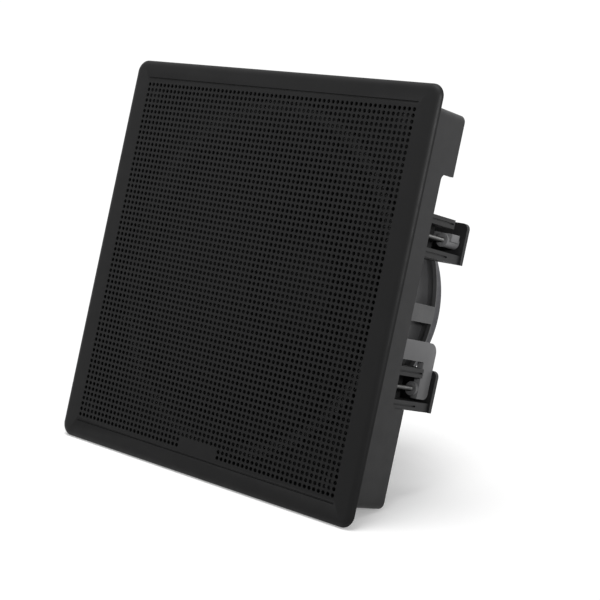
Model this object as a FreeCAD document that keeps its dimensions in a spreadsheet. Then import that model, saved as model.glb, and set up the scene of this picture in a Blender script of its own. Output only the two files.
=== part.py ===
import FreeCAD, Part
import math
import os
import re

import Sketcher

# Square flush-mount subwoofer, upright, with its face towards -Y.
# The origin is the centre of the flange's back, which lies on the wall.
# Every size is in millimetres. Depths are measured along +Y from the wall's surface.

SIZES = [
    ("face_width", 284, "outside width of the square grille"),
    ("face_corner", 9, "corner radius of the grille"),
    ("grille_depth", 3.7, "depth of the pressed grille, front to rim"),
    ("grille_sheet", 1.2, "thickness of the grille's sheet"),
    ("grille_edge", 3.4, "rounding of the grille's front edge"),
    ("rim_gap", 0.3, "gap from the grille's rim to the wall"),
    ("hole_rows", 21, "rows and columns of perforations"),
    ("field_border", 22, "border from the grille's edge to the outer row's centre"),
    ("hole_pitch", "=(face_width - 2 * field_border) / (hole_rows - 1)", "spacing of the perforations"),
    ("hole_side", 7, "side of one perforation"),
    ("bare_columns", 5, "perforations left out at the foot of the field"),
    ("press_line", 1.6, "width of the pressed line above and below the field"),
    ("press_line_depth", 0.4, "depth of the pressed line"),
    ("press_line_out", 8.8, "pressed line's distance from the outer row's centre"),
    ("grille_gap", 0.2, "gap between the grille and what it covers"),
    ("flange_gap", 0.5, "side gap between the flange and the grille's rim"),
    ("tub_inset", 11.3, "inset of the housing from the grille's edge"),
    ("tub_width", "=face_width - 2 * tub_inset", "outside width of the housing behind the flange"),
    ("tub_corner", 5, "corner radius of the housing"),
    ("tub_wall", 3, "wall of the housing"),
    ("tub_depth", 42, "depth of the housing at its corners"),
    ("cutout_depth", 29.5, "depth of the side walls between their corners"),
    ("cutout_top", 90, "height at which the right wall is deep again"),
    ("cutout_foot", 64, "drop at which the right wall is deep again"),
    ("cutout_corner", 4, "rounding of the cut-out's corners"),
    ("seal_width", 4, "width of the seal behind the flange"),
    ("seal_depth", 1.2, "depth of the seal's groove"),
    ("baffle_front", 18, "depth of the baffle's front face"),
    ("baffle_thickness", 3, "thickness of the baffle"),
    ("collar_wall", 3, "wall of the collar round the driver's opening"),
    ("collar_length", 5, "length of the collar behind the baffle"),
    ("web_thickness", 3, "thickness of the corner webs"),
    ("web_depth", 15, "depth of the corner webs behind the baffle"),
    ("post_inset", 13.7, "inset of the magnet posts from the housing's sides"),
    ("post_place", "=tub_width / 2 - post_inset", "distance of the magnet posts from the middle planes"),
    ("post_radius", 6.5, "radius of a magnet post"),
    ("magnet_disc_radius", 4, "radius of a grille magnet"),
    ("magnet_disc_depth", 3, "thickness of a grille magnet"),
    ("clamp_inset", 8.2, "inset of the clamp screws from the housing's side"),
    ("clamp_x", "=tub_width / 2 - clamp_inset", "distance of the clamp screws from the middle"),
    ("clamp_z", 50, "height of the clamp screws above and below the middle"),
    ("tower_width", 18.7, "width of a clamp tower, from the housing's side inwards"),
    ("cheek_inner", "=tub_width / 2 - tower_width", "inner edge of the clamp towers"),
    ("cheek_inset", 1.5, "inset of the cheeks from the housing's side"),
    ("cheek_outer", "=tub_width / 2 - cheek_inset", "outer edge of the tower's cheeks"),
    ("cheek_near", 8, "clear half height between the cheeks"),
    ("cheek_thickness", 6, "thickness of a cheek"),
    ("cheek_groove", 1.2, "width and depth of the groove along a cheek"),
    ("tower_web", 2, "thickness of the web between the cheeks"),
    ("end_plate_front", 69, "depth of the tower's end plate"),
    ("end_plate_thickness", 3, "thickness of the tower's end plate"),
    ("end_plate_width", 31, "width of the end plate, from the housing's side inwards"),
    ("end_plate_corner", 4, "rounding of the end plate's upper corner"),
    ("dog_thickness", 5, "thickness of a clamp dog"),
    ("dog_offset", 2.4, "offset of the dog's middle from its screw"),
    ("dog_reach", 31.8, "reach of the dog from its screw"),
    ("dog_toe_height", 13.3, "height of the dog's toe"),
    ("dog_toe_length", 26, "length of the toe in front of the column"),
    ("dog_column_depth", 11.4, "depth of the column"),
    ("dog_end_gap", 0.6, "gap between the dog and the end plate"),
    ("dog_corner", 7, "rounding of the dog's rear corner"),
    ("dog_nose", 2, "rounding of the toe's front corners"),
    ("dog_foot", 6, "length of the column past its screw"),
    ("dog_heel", 4, "rounding of the column's foot"),
    ("barrel_radius", 4.6, "radius of the dog's barrel"),
    ("barrel_lead", 2, "length of the barrel in front of the column"),
    ("clamp_screw_radius", 1.75, "radius of a clamp screw"),
    ("clamp_head_radius", 4, "radius of a clamp screw's head"),
    ("clamp_head_height", 3, "height of a clamp screw's head"),
    ("head_chamfer", 1, "chamfer of a clamp screw's head"),
    ("tip_chamfer", 0.8, "chamfer of a clamp screw's tip"),
    ("clamp_tail", 4, "length of the screw behind the end plate"),
    ("recess_width", 1.2, "width of a cross recess"),
    ("recess_length", 4.6, "length of a cross recess"),
    ("recess_depth", 1.6, "depth of a cross recess"),
    ("clip_radius", 4.5, "radius of a retaining clip"),
    ("clip_thickness", 1, "thickness of a retaining clip"),
    ("turn_gap", 0.2, "radial clearance of a turning screw"),
    ("seat_gap", 0.1, "clearance between glued or seated round faces"),
    ("driver_inset", 17.7, "inset of the driver's opening from the housing's sides"),
    ("driver_hole", "=tub_width / 2 - driver_inset", "radius of the driver's opening in the baffle"),
    ("gasket_depth", 1, "thickness of the driver's gasket"),
    ("gasket_margin", 0.5, "inset of the gasket from the opening's edge"),
    ("rim_lap", 11.5, "lap of the basket's flange over the baffle"),
    ("basket_rim", "=driver_hole + rim_lap", "radius of the basket's flange"),
    ("basket_rim_depth", 4, "thickness of the basket's flange"),
    ("basket_wall", 3, "wall of the basket"),
    ("throat_gap", 1, "gap round the basket in the driver's opening"),
    ("basket_throat", "=driver_hole - throat_gap", "radius of the basket within the baffle"),
    ("basket_throat_depth", 23, "depth at which the basket starts to narrow"),
    ("waist_step", 13.8, "narrowing of the basket behind the baffle"),
    ("basket_waist", "=driver_hole - waist_step", "radius of the basket behind the baffle"),
    ("basket_waist_depth", 31, "depth of that narrower part"),
    ("basket_taper", 7.2, "narrowing of the basket from there to its rear ring"),
    ("basket_back", "=basket_waist - basket_taper", "radius of the basket's rear ring"),
    ("basket_back_depth", 109, "depth of the basket's rear face"),
    ("basket_back_corner", 4, "chamfer of the basket's rear edge"),
    ("window_front", 42, "depth at which the windows start"),
    ("ring_depth", 5, "depth of the rear ring behind the windows"),
    ("window_back", "=basket_back_depth - ring_depth", "depth at which the windows end"),
    ("spoke_count", 6, "number of spokes"),
    ("spoke_angle", 7.6, "angle taken by one spoke"),
    ("drain_count", 31, "number of drain slots in the rear ring"),
    ("drain_span", 180, "angle over which the drain slots spread"),
    ("drain_width", 4, "width of a drain slot"),
    ("drain_depth", 1.8, "depth of a drain slot"),
    ("ledge_inset", 8, "inset of the spider's ledge from the rear ring"),
    ("ledge_radius", "=basket_back - ledge_inset", "outer radius of the spider's ledge"),
    ("ledge_width", 8, "width of the spider's ledge"),
    ("ledge_inner", "=ledge_radius - ledge_width", "inner radius of the spider's ledge"),
    ("ledge_height", 22, "height of the spider's ledge over the basket's rear face"),
    ("ledge_depth", "=basket_back_depth - ledge_height", "depth of the spider's ledge"),
    ("throat_radius", 60, "radius of the opening in the basket's back"),
    ("driver_screw_count", 8, "number of driver screws"),
    ("driver_screw_out", 7.5, "distance of the driver screws outside the opening"),
    ("driver_screw_circle", "=driver_hole + driver_screw_out", "radius of the circle of driver screws"),
    ("driver_screw_radius", 1.8, "radius of a driver screw"),
    ("driver_head_radius", 3.6, "radius of a driver screw's head"),
    ("driver_head_height", 2.4, "height of a driver screw's head"),
    ("driver_screw_length", 15, "length of a driver screw under its head"),
    ("boss_radius", 4.2, "radius of a screw boss behind the baffle"),
    ("boss_length", 9, "length of a screw boss"),
    ("roll_width", 14, "width of the surround's roll"),
    ("surround_outer", "=driver_hole", "outer radius of the surround's roll"),
    ("surround_inner", "=surround_outer - roll_width", "inner radius of the surround's roll"),
    ("surround_thickness", 1.2, "thickness of the surround"),
    ("surround_foot", 3.2, "width of the surround's feet"),
    ("neck_height", 45, "height of the cone's neck over the basket's rear face"),
    ("cone_depth", "=basket_back_depth - neck_height", "depth of the cone's neck"),
    ("cone_thickness", 1.5, "thickness of the cone"),
    ("cone_neck", 28, "outer radius of the cone's neck"),
    ("neck_length", 4, "length of the cone's neck"),
    ("cap_radius", 40, "radius of the dust cap"),
    ("cap_rise", 10, "rise of the dust cap"),
    ("cap_thickness", 1, "thickness of the dust cap"),
    ("former_lip", 1, "length of the former past the cone's face"),
    ("former_inner", 24.9, "inner radius of the coil former"),
    ("former_wall", 0.7, "wall of the coil former"),
    ("coil_wall", 1.8, "build of the winding"),
    ("coil_lead", 5, "length of the winding in front of the top plate"),
    ("coil_front", "=basket_back_depth - coil_lead", "depth at which the winding starts"),
    ("coil_length", 18, "length of the winding"),
    ("coil_gap", 0.8, "gap between the winding and the steel"),
    ("spider_wave", 2.5, "half height of the spider's waves"),
    ("spider_waves", 4, "number of waves in the spider"),
    ("spider_flat", 2, "flat width at each end of the spider's waves"),
    ("spider_thickness", 0.9, "thickness of the spider"),
    ("top_plate_radius", 70, "radius of the top plate"),
    ("top_plate_depth", 6, "thickness of the top plate"),
    ("ferrite_radius", 76, "radius of the magnet"),
    ("ferrite_bore", 44, "inner radius of the magnet"),
    ("ferrite_depth", 18, "thickness of the magnet"),
    ("back_plate_radius", 71, "radius of the back plate"),
    ("back_plate_depth", 6, "thickness of the back plate"),
    ("back_plate_edge", 1.5, "chamfer of the back plate's edge"),
    ("pole_gap", 0.7, "gap between the pole and the former"),
    ("vent_radius", 9, "radius of the vent through the pole"),
    ("pad_front", 50, "depth at which the terminal pad starts"),
    ("pad_length", 22, "length of the terminal pad"),
    ("pad_height", 20, "height of the terminal pad"),
    ("pad_root", 3, "depth of the pad within the tapering spoke"),
    ("pad_rise", 1.5, "rise of the pad over the spoke"),
    ("board_height", 30, "height of the terminal board"),
    ("board_thickness", 2.5, "thickness of the terminal board"),
    ("tab_spacing", 16, "spacing of the terminal tabs"),
    ("tab_width", 6.3, "width of the positive tab"),
    ("narrow_tab_width", 4.8, "width of the negative tab"),
    ("tab_length", 24, "length of a terminal tab"),
    ("tab_thickness", 0.8, "thickness of a terminal tab"),
    ("tab_overhang", 10, "length of tab past the board"),
]

doc = FreeCAD.newDocument("flush_mount_subwoofer")
sheet = doc.addObject("Spreadsheet::Sheet", "Sizes")
for row, (alias, value, note) in enumerate(SIZES, 1):
    sheet.set(f"A{row}", note)
    sheet.set(f"B{row}", str(value))
    sheet.setAlias(f"B{row}", alias)
doc.recompute()
ALIASES = {alias for alias, value, note in SIZES}

# How far a cut runs past the face it opens, and how far two pads of one body lap.
CUT_OVER = 1
LAP = 1
# Keeps a half circle just short of a half turn.
ARC_SLACK = 0.001
# Measures closer than this are the same.
SAME = 0.001

# Lengths that follow from the driving sizes, as formulas.
GRILLE_FRONT = "(-(grille_depth + rim_gap))"
GRILLE_BACK = "(grille_sheet - grille_depth - rim_gap)"
FLANGE_FRONT = f"({GRILLE_BACK} + grille_gap)"
FLANGE_HALF = "(face_width / 2 - grille_sheet - flange_gap)"
FLANGE_CORNER = "(face_corner - grille_sheet - flange_gap)"
TUB_HALF = "(tub_width / 2)"
TUB_INNER = "(tub_width / 2 - tub_wall)"
TUB_INNER_CORNER = "(tub_corner - tub_wall)"
BAFFLE_BACK = "(baffle_front + baffle_thickness)"
RIM_BACK = "(baffle_front - gasket_depth)"
RIM_FRONT = f"({RIM_BACK} - basket_rim_depth)"
CHEEK_FAR = "(cheek_near + cheek_thickness)"
DOG_BACK = "(end_plate_front - dog_end_gap)"
COLUMN_FRONT = f"({DOG_BACK} - dog_column_depth)"
TOE_FRONT = f"({COLUMN_FRONT} - dog_toe_length)"
SWING_FLOOR = f"({COLUMN_FRONT} - dog_end_gap)"
END_PLATE_BACK = "(end_plate_front + end_plate_thickness)"
BASKET_SLOPE = "((basket_waist - basket_back) / (basket_back_depth - basket_waist_depth))"
FORMER_OUTER = "(former_inner + former_wall)"
COIL_OUTER = f"({FORMER_OUTER} + coil_wall)"
TOP_PLATE_BACK = "(basket_back_depth + top_plate_depth)"
FERRITE_BACK = f"({TOP_PLATE_BACK} + ferrite_depth)"
YOKE_BACK = f"({FERRITE_BACK} + back_plate_depth)"
POLE_RADIUS = "(former_inner - pole_gap)"
PAD_X = "(basket_waist + pad_rise)"


def formula(text):
    """The text with each size's name tied to its cell."""
    return re.sub(r"[a-z_]+", lambda word: tied(word.group()), str(text))


def tied(word):
    return f"Sizes.{word}" if word in ALIASES else word


def size(text):
    """The present value of a formula."""
    return float(sheet.evalExpression(formula(text)))


def count(text):
    return int(round(size(text)))


def bind(thing, prop, text):
    thing.setExpression(prop, formula(text))


def new_body(label):
    body = doc.addObject("PartDesign::Body", label)
    body.Label = label
    return body


def plane_of(body, role):
    return next(f for f in body.Origin.OriginFeatures if f.Role == role)


def new_sketch(body, role, offset="0"):
    """A sketch on one of the body's own planes, moved along that plane's normal."""
    sketch = body.newObject("Sketcher::SketchObject", f"{body.Label}_sketch")
    sketch.AttachmentSupport = [(plane_of(body, role), "")]
    sketch.MapMode = "FlatFace"
    bind(sketch, "AttachmentOffset.Base.z", offset)
    return sketch


def arc_middle(start, end, radius, side):
    """The middle of the shorter arc that bulges to one side of the chord."""
    chord = end - start
    half = chord.Length / 2
    rise = radius - math.sqrt(max(radius * radius - half * half, 0))
    outward = FreeCAD.Vector(-chord.y, chord.x, 0).normalize()
    return (start + end) / 2 + outward * (rise * side)


def outline(sketch, corners, bends=None):
    """A closed outline through corners given as formulas. A bend makes the edge after a corner an arc."""
    bends = bends or {}
    points = [FreeCAD.Vector(size(a), size(b), 0) for a, b in corners]
    first = sketch.GeometryCount
    ends = []
    for i, start in enumerate(points):
        end = points[(i + 1) % len(points)]
        if i in bends:
            radius, side = bends[i]
            middle = arc_middle(start, end, size(radius), side)
            sketch.addGeometry(Part.Arc(start, middle, end))
            ends.append((2, 1) if side > 0 else (1, 2))
        else:
            sketch.addGeometry(Part.LineSegment(start, end))
            ends.append((1, 2))
    for i, (across, up) in enumerate(corners):
        edge = first + i
        before = first + (i - 1) % len(corners)
        sketch.addConstraint(
            Sketcher.Constraint("Coincident", before, ends[i - 1][1], edge, ends[i][0])
        )
        pin(sketch, "DistanceX", edge, ends[i][0], points[i].x, across)
        pin(sketch, "DistanceY", edge, ends[i][0], points[i].y, up)
    for i, (radius, side) in bends.items():
        place = sketch.addConstraint(Sketcher.Constraint("Radius", first + i, size(radius)))
        bind(sketch, f"Constraints[{place}]", radius)


def pin(sketch, kind, edge, end, start_value, text):
    place = sketch.addConstraint(Sketcher.Constraint(kind, -1, 1, edge, end, start_value))
    bind(sketch, f"Constraints[{place}]", text)


def circle(sketch, across, up, radius):
    middle = FreeCAD.Vector(size(across), size(up), 0)
    normal = FreeCAD.Vector(0, 0, 1)
    edge = sketch.addGeometry(Part.Circle(middle, normal, size(radius)))
    pin(sketch, "DistanceX", edge, 3, middle.x, across)
    pin(sketch, "DistanceY", edge, 3, middle.y, up)
    place = sketch.addConstraint(Sketcher.Constraint("Radius", edge, size(radius)))
    bind(sketch, f"Constraints[{place}]", radius)


def rectangle(sketch, left, right, low, high):
    outline(sketch, [(left, low), (right, low), (right, high), (left, high)])


def rounded_square(sketch, half, radius):
    flat = f"({half} - {radius})"
    corners = [
        (f"-{flat}", f"-{half}"),
        (flat, f"-{half}"),
        (half, f"-{flat}"),
        (half, flat),
        (flat, half),
        (f"-{flat}", half),
        (f"-{half}", flat),
        (f"-{half}", f"-{flat}"),
    ]
    outline(sketch, corners, {1: (radius, -1), 3: (radius, -1), 5: (radius, -1), 7: (radius, -1)})


def pad(body, sketch, length):
    """Material from the sketch's plane towards that plane's normal."""
    feature = body.newObject("PartDesign::Pad", f"{body.Label}_pad")
    feature.Profile = sketch
    bind(feature, "Length", length)
    doc.recompute()
    return feature


def pocket(body, sketch, depth, forward=False):
    """A cut from the sketch's plane, against its normal unless it is turned forward."""
    before = body.Shape.Volume
    feature = body.newObject("PartDesign::Pocket", f"{body.Label}_pocket")
    feature.Profile = sketch
    feature.Reversed = forward
    bind(feature, "Length", depth)
    doc.recompute()
    if body.Shape.Volume >= before:
        raise ValueError(f"{feature.Label} cuts nothing")
    return feature


def revolve(body, sketch, angle="360"):
    """A turned form round the driver's axis."""
    feature = body.newObject("PartDesign::Revolution", f"{body.Label}_turned")
    feature.Profile = sketch
    feature.ReferenceAxis = (sketch, ["V_Axis"])
    feature.Midplane = angle != "360"
    bind(feature, "Angle", angle)
    doc.recompute()
    return feature


def turned(label, corners, bends=None):
    """A body turned round the driver's axis from a half profile of radius and depth."""
    body = new_body(label)
    sketch = new_sketch(body, "XY_Plane")
    outline(sketch, corners, bends)
    revolve(body, sketch)
    return body


def ring(label, inner, outer, front, back):
    return turned(label, [(inner, front), (outer, front), (outer, back), (inner, back)])


def polar(body, feature, number, angle="360"):
    """Copies of a feature round the driver's axis."""
    pattern = body.newObject("PartDesign::PolarPattern", f"{body.Label}_pattern")
    pattern.Originals = [feature]
    axis = next(f for f in body.Origin.OriginFeatures if f.Role == "Y_Axis")
    pattern.Axis = (axis, [""])
    bind(pattern, "Angle", angle)
    bind(pattern, "Occurrences", number)
    body.Tip = pattern
    doc.recompute()
    return pattern


# The two clamps of the right side. The left side is the right one turned half round.
SIDES = [("right", 1), ("left", -1)]
LEVELS = [("upper", 1), ("lower", -1)]


def clamp_places():
    """Name, side and height sign of each clamp, in the terms of a right-hand side."""
    for side_name, side in SIDES:
        for level_name, level in LEVELS:
            yield f"{level_name}_{side_name}", side, level * side


def tower_box(sketch, side, level, inner, outer, low, high):
    """A rectangle on a clamp tower, turned half round for the left side."""
    middle = f"({level} * clamp_z)"
    rectangle(
        sketch,
        f"{side} * ({inner})",
        f"{side} * ({outer})",
        f"{side} * ({middle} + {low})",
        f"{side} * ({middle} + {high})",
    )


def make_housing():
    body = new_body("housing")
    # Flange and tub
    flange = new_sketch(body, "XZ_Plane")
    rounded_square(flange, FLANGE_HALF, FLANGE_CORNER)
    rounded_square(flange, TUB_INNER, TUB_INNER_CORNER)
    pad(body, flange, f"-{FLANGE_FRONT}")
    tub = new_sketch(body, "XZ_Plane", "-tub_depth")
    rounded_square(tub, TUB_HALF, "tub_corner")
    rounded_square(tub, TUB_INNER, TUB_INNER_CORNER)
    pad(body, tub, "tub_depth")
    for side_name, side in SIDES:
        wall_face = f"{TUB_HALF} + {CUT_OVER}" if side > 0 else f"{CUT_OVER} - {TUB_INNER}"
        notch = new_sketch(body, "YZ_Plane", wall_face)
        low = f"-{side} * cutout_foot"
        high = f"{side} * cutout_top"
        inset = f"{side} * cutout_corner"
        corners = [
            ("cutout_depth", f"{low} + {inset}"),
            ("cutout_depth + cutout_corner", low),
            (f"tub_depth + {CUT_OVER}", low),
            (f"tub_depth + {CUT_OVER}", high),
            ("cutout_depth + cutout_corner", high),
            ("cutout_depth", f"{high} - {inset}"),
        ]
        outline(notch, corners, {0: ("cutout_corner", -side), 4: ("cutout_corner", -side)})
        pocket(body, notch, f"tub_wall + 2 * {CUT_OVER}")
    # Baffle with the driver's opening and its collar
    baffle = new_sketch(body, "XZ_Plane", f"-{BAFFLE_BACK}")
    rounded_square(baffle, f"({TUB_INNER} + tub_wall / 2)", TUB_INNER_CORNER)
    circle(baffle, "0", "0", "driver_hole")
    pad(body, baffle, "baffle_thickness")
    collar = new_sketch(body, "XZ_Plane", f"-({BAFFLE_BACK} + collar_length)")
    circle(collar, "0", "0", "driver_hole")
    circle(collar, "0", "0", "driver_hole + collar_wall")
    pad(body, collar, "collar_length + baffle_thickness / 2")
    # Diagonal webs in the four corners
    webs = new_sketch(body, "XZ_Plane", f"-({BAFFLE_BACK} + web_depth)")
    near = "((driver_hole + collar_wall / 2) / sqrt(2))"
    far = f"({TUB_INNER} - {TUB_INNER_CORNER} * (1 - 1 / sqrt(2)) + tub_wall / 3)"
    skew = "(web_thickness / 2 / sqrt(2))"
    for across in (1, -1):
        for up in (1, -1):
            corners = [
                (f"{across} * ({near} + {skew})", f"{up} * ({near} - {skew})"),
                (f"{across} * ({far} + {skew})", f"{up} * ({far} - {skew})"),
                (f"{across} * ({far} - {skew})", f"{up} * ({far} + {skew})"),
                (f"{across} * ({near} - {skew})", f"{up} * ({near} + {skew})"),
            ]
            outline(webs, corners)
    pad(body, webs, "web_depth + baffle_thickness / 2")
    # Clamp towers: a long cheek, a web and a short cheek that let the dog swing, and an end plate
    long_cheeks = new_sketch(body, "XZ_Plane", "-end_plate_front")
    short_cheeks = new_sketch(body, "XZ_Plane", f"-{SWING_FLOOR}")
    plates = new_sketch(body, "XZ_Plane", f"-{END_PLATE_BACK}")
    for name, side, level in clamp_places():
        span = ("cheek_inner", "cheek_outer")
        tower_box(long_cheeks, side, level, *span, f"-{CHEEK_FAR}", "-cheek_near")
        short_cheek(short_cheeks, side, f"({level} * clamp_z)")
        end_plate(plates, side, f"({level} * clamp_z)")
    reach_back = f"{BAFFLE_BACK} + baffle_thickness / 2"
    pad(body, long_cheeks, f"end_plate_front - ({reach_back}) + baffle_thickness")
    pad(body, short_cheeks, f"{SWING_FLOOR} - ({reach_back}) + baffle_thickness")
    pad(body, plates, "end_plate_thickness")
    for side_name, side in SIDES:
        grooves = new_sketch(body, "YZ_Plane", f"{side} * cheek_outer")
        for level in (1, -1):
            cheek_grooves(grooves, f"({level} * clamp_z)")
        pocket(body, grooves, "cheek_groove", forward=side < 0)
    # Bosses for the driver's screws and posts for the grille's magnets
    bosses = new_sketch(body, "XZ_Plane", f"-({BAFFLE_BACK} + boss_length)")
    for across, up in driver_screw_places():
        circle(bosses, across, up, "boss_radius")
    pad(body, bosses, "boss_length + baffle_thickness / 2")
    posts = new_sketch(body, "XZ_Plane", "-(baffle_front + baffle_thickness / 2)")
    for across, up in post_places():
        circle(posts, across, up, "post_radius")
    pad(body, posts, f"baffle_thickness / 2 + baffle_front - {FLANGE_FRONT}")
    # Holes
    pilot = new_sketch(body, "XZ_Plane", f"-{RIM_BACK}")
    for across, up in driver_screw_places():
        circle(pilot, across, up, "driver_screw_radius + turn_gap")
    pocket(body, pilot, f"gasket_depth + baffle_thickness + boss_length + {CUT_OVER}")
    clearance = new_sketch(body, "XZ_Plane", f"-{RIM_BACK}")
    for name, side, level in clamp_places():
        across, up = clamp_axis(side, level)
        circle(clearance, across, up, "clamp_screw_radius + turn_gap")
    pocket(body, clearance, f"{END_PLATE_BACK} - {RIM_BACK} + {CUT_OVER}")
    seats = new_sketch(body, "XZ_Plane", f"-{FLANGE_FRONT}")
    for across, up in post_places():
        circle(seats, across, up, "magnet_disc_radius + seat_gap")
    pocket(body, seats, "magnet_disc_depth")
    groove = new_sketch(body, "XZ_Plane")
    seal_outline(groove, "0")
    pocket(body, groove, "seal_depth", forward=True)
    return body


def short_cheek(sketch, side, middle):
    """A cheek with the web that closes the tower's inner side."""
    web = "(cheek_inner + tower_web)"
    foot = f"({middle} - cheek_near - cheek_thickness / 2)"
    near = f"({middle} + cheek_near)"
    far = f"({middle} + {CHEEK_FAR})"
    corners = [("cheek_inner", foot), (web, foot), (web, near)]
    corners += [("cheek_outer", near), ("cheek_outer", far), ("cheek_inner", far)]
    outline(sketch, [(f"{side} * {across}", f"{side} * {up}") for across, up in corners])


def cheek_grooves(sketch, middle):
    """A groove along the middle of both cheeks of a tower."""
    for way in (1, -1):
        line = f"({middle} + {way} * (cheek_near + cheek_thickness / 2))"
        low = f"{line} - cheek_groove / 2"
        rectangle(sketch, "cutout_depth", f"{SWING_FLOOR} - cheek_groove", low, f"{low} + cheek_groove")


def end_plate(sketch, side, middle):
    """An end plate with a rounded upper corner."""
    low = f"({middle} - {CHEEK_FAR})"
    high = f"({middle} + {CHEEK_FAR})"
    inner = f"({TUB_HALF} - end_plate_width)"
    corners = [
        (f"{side} * {inner}", f"{side} * {low}"),
        (f"{side} * {TUB_HALF}", f"{side} * {low}"),
        (f"{side} * {TUB_HALF}", f"{side} * ({high} - end_plate_corner)"),
        (f"{side} * ({TUB_HALF} - end_plate_corner)", f"{side} * {high}"),
        (f"{side} * {inner}", f"{side} * {high}"),
    ]
    outline(sketch, corners, {2: ("end_plate_corner", -1)})


def seal_outline(sketch, clearance):
    """The square ring of the seal, midway between the tub and the flange's edge."""
    middle = f"(({TUB_HALF} + {FLANGE_HALF}) / 2)"
    corner = f"(({FLANGE_CORNER} + tub_corner) / 2)"
    rounded_square(
        sketch,
        f"({middle} + seal_width / 2 - {clearance})",
        f"({corner} + seal_width / 2 - {clearance})",
    )
    rounded_square(
        sketch,
        f"({middle} - seal_width / 2 + {clearance})",
        f"({corner} - seal_width / 2 + {clearance})",
    )


def clamp_axis(side, level):
    return f"{side} * clamp_x", f"{side * level} * clamp_z"


def driver_screw_places():
    """The driver's screws, evenly round their circle."""
    step = 360 / count("driver_screw_count")
    for i in range(count("driver_screw_count")):
        yield f"driver_screw_circle * cos({i * step})", f"driver_screw_circle * sin({i * step})"


def post_places():
    for across in (1, -1):
        for up in (1, -1):
            yield f"{across} * post_place", f"{up} * post_place"


def make_seal():
    body = new_body("flange_seal")
    sketch = new_sketch(body, "XZ_Plane")
    seal_outline(sketch, "seat_gap")
    pad(body, sketch, "seal_depth")
    return body


def make_grille():
    """A pressed sheet with a rim, a perforated field and a pressed line above and below it."""
    body = new_body("grille_pressing")
    face = new_sketch(body, "XZ_Plane", "rim_gap")
    rounded_square(face, "(face_width / 2)", "face_corner")
    solid = pad(body, face, "grille_depth")
    front = [
        f"Edge{i}"
        for i, edge in enumerate(body.Shape.Edges, 1)
        if abs(edge.BoundBox.YMax - size(GRILLE_FRONT)) < SAME
    ]
    rounding = body.newObject("PartDesign::Fillet", "grille_rounding")
    rounding.Base = (solid, front)
    bind(rounding, "Radius", "grille_edge")
    doc.recompute()
    hollow = new_sketch(body, "XZ_Plane", "rim_gap")
    rounded_square(hollow, "(face_width / 2 - grille_sheet)", "(face_corner - grille_sheet)")
    pocket(body, hollow, "grille_depth - grille_sheet", forward=True)
    lines = new_sketch(body, "XZ_Plane", f"-{GRILLE_FRONT}")
    field = "((hole_rows - 1) / 2 * hole_pitch)"
    for up in (1, -1):
        middle = f"{up} * ({field} + press_line_out)"
        rectangle(
            lines,
            f"-({field} + press_line_out)",
            f"{field} + press_line_out",
            f"{middle} - press_line / 2",
            f"{middle} + press_line / 2",
        )
    pocket(body, lines, "press_line_depth")
    # The field is a compound of plain prisms, because a pattern of several hundred cuts is slow
    side = size("hole_side")
    depth = size("3 * grille_sheet")
    prism = Part.makeBox(side, depth, side, FreeCAD.Vector(-side / 2, -depth / 2, -side / 2))
    tool = doc.addObject("Part::Feature", "grille_field")
    tool.Shape = Part.makeCompound([prism.translated(place) for place in hole_places()])
    grille = doc.addObject("Part::Cut", "grille")
    grille.Base = body
    grille.Tool = tool
    doc.recompute()
    return grille


def hole_places():
    """Centres of the perforations. The foot of the field stays bare in the middle."""
    rows = count("hole_rows")
    pitch = size("hole_pitch")
    bare = count("bare_columns")
    front = size(GRILLE_FRONT)
    for row in range(rows):
        for column in range(rows):
            across = column - (rows - 1) / 2
            if row == 0 and abs(across) < bare / 2:
                continue
            yield FreeCAD.Vector(across * pitch, front, (row - (rows - 1) / 2) * pitch)


def discs(label, places, radius, front, length):
    """Equal round pieces along the depth, as one body's worth of separate solids."""
    pieces = []
    for across, up in places:
        disc = doc.addObject("Part::Cylinder", f"{label}_piece")
        bind(disc, "Radius", radius)
        bind(disc, "Height", length)
        disc.Placement.Rotation = FreeCAD.Rotation(FreeCAD.Vector(1, 0, 0), -90)
        bind(disc, "Placement.Base.x", across)
        bind(disc, "Placement.Base.y", front)
        bind(disc, "Placement.Base.z", up)
        pieces.append(disc)
    return pieces


def gathered(label, pieces):
    group = doc.addObject("Part::Compound", label)
    group.Label = label
    group.Links = pieces
    doc.recompute()
    return group


def make_grille_magnets():
    places = list(post_places())
    pieces = discs("grille_magnet", places, "magnet_disc_radius", FLANGE_FRONT, "magnet_disc_depth")
    return gathered("grille_magnets", pieces)


def make_driver_screws():
    """Pan-head screws through the basket's flange into the housing's bosses."""
    places = list(driver_screw_places())
    head_front = f"({RIM_FRONT} - driver_head_height)"
    heads = discs("driver_head", places, "driver_head_radius", head_front, "driver_head_height")
    shanks = discs("driver_shank", places, "driver_screw_radius", RIM_FRONT, "driver_screw_length")
    screws = []
    for head, shank in zip(heads, shanks):
        screw = doc.addObject("Part::Fuse", "driver_screw")
        screw.Base = head
        screw.Tool = shank
        screws.append(screw)
    return gathered("driver_screws", screws)


def drilled(body, front, depth):
    """Clearance holes for the driver's screws."""
    holes = new_sketch(body, "XZ_Plane", f"-({front})")
    for across, up in driver_screw_places():
        circle(holes, across, up, "driver_screw_radius + turn_gap")
    pocket(body, holes, depth)


def make_driver_gasket():
    body = ring("driver_gasket", "driver_hole + gasket_margin", "basket_rim", RIM_BACK, "baffle_front")
    drilled(body, RIM_BACK, "gasket_depth")
    return body


def basket_radius(depth):
    """Outside radius of the basket's tapering wall at a depth."""
    return f"(basket_waist - {BASKET_SLOPE} * ({depth} - basket_waist_depth))"


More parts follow.
